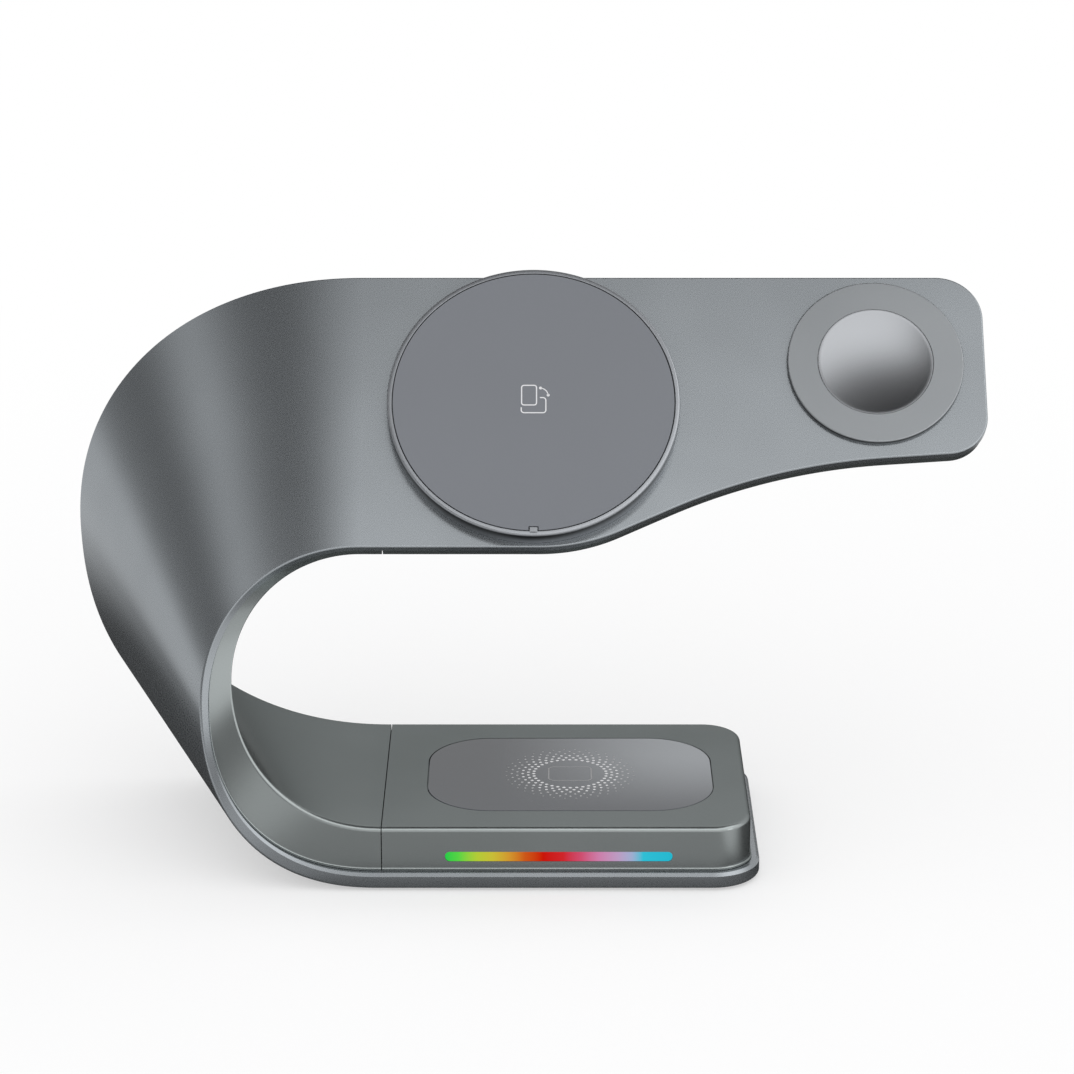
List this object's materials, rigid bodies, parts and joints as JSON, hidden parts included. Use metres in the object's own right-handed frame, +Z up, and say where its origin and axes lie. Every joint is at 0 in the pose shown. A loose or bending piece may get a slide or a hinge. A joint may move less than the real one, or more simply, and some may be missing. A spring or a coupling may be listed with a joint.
{
  "type": "wireless charging station",
  "caption": "Desk charging stand: a band flows from a low base for earbuds round a flared bend into a leaning arm with a round phone puck and a watch puck.",
  "frame": {"origin": "bottom centre of the stand's box, in the plane of the feet", "axes": "+X to the tip of the arm at the viewer's right, +Y away from the viewer to the rear, +Z up"},
  "size_m": [0.1895, 0.0656, 0.1137],
  "materials": {
    "shell": "satin metallic grey paint with a fine grain",
    "cover": "satin metallic grey paint",
    "light_bar": "milky, lit in a row of colours",
    "board": "solder mask",
    "lamp": "clear cast",
    "pad": "glossy with a printed ring of dots",
    "copper": "enamelled copper wire",
    "ferrite": "sintered ferrite",
    "chip": "moulded",
    "screw": "zinc plated",
    "socket": "nickel plated",
    "weight": "cut sheet steel",
    "rubber": "matte",
    "puck_metal": "fine blasted, bright turned edge",
    "puck_face": "soft-touch sheet with a thin printed sign",
    "magnet": "nickel plated",
    "watch_ring": "satin metallic grey",
    "dome_metal": "polished metal dish",
    "ribbon": "flat flexible circuit"
  },
  "bodies": {
    "root": {"outer_shell": "shell", "bend_inner_cover": "cover", "base_top_cover": "cover", "arm_back_cover": "cover", "light_bar": "light_bar", "led_board": "board", "bar_lamps": "lamp", "earbud_pad": "pad", "earbud_coil": "copper", "earbud_ferrite": "ferrite", "main_board": "board", "main_chips": "chip", "board_screws": "screw", "power_socket": "socket", "ballast_plate": "weight", "rubber_feet": "rubber", "base_screws": "screw", "phone_puck_body": "puck_metal", "phone_puck_face": "puck_face", "phone_magnets": "magnet", "phone_coil": "copper", "phone_ferrite": "ferrite", "puck_screws": "screw", "phone_board": "board", "phone_chips": "chip", "watch_ring": "watch_ring", "watch_dome": "dome_metal", "watch_coil": "copper", "watch_ferrite": "ferrite", "watch_board": "board", "arm_ribbon": "ribbon", "watch_lead": "ribbon"}
  },
  "joints": []
}
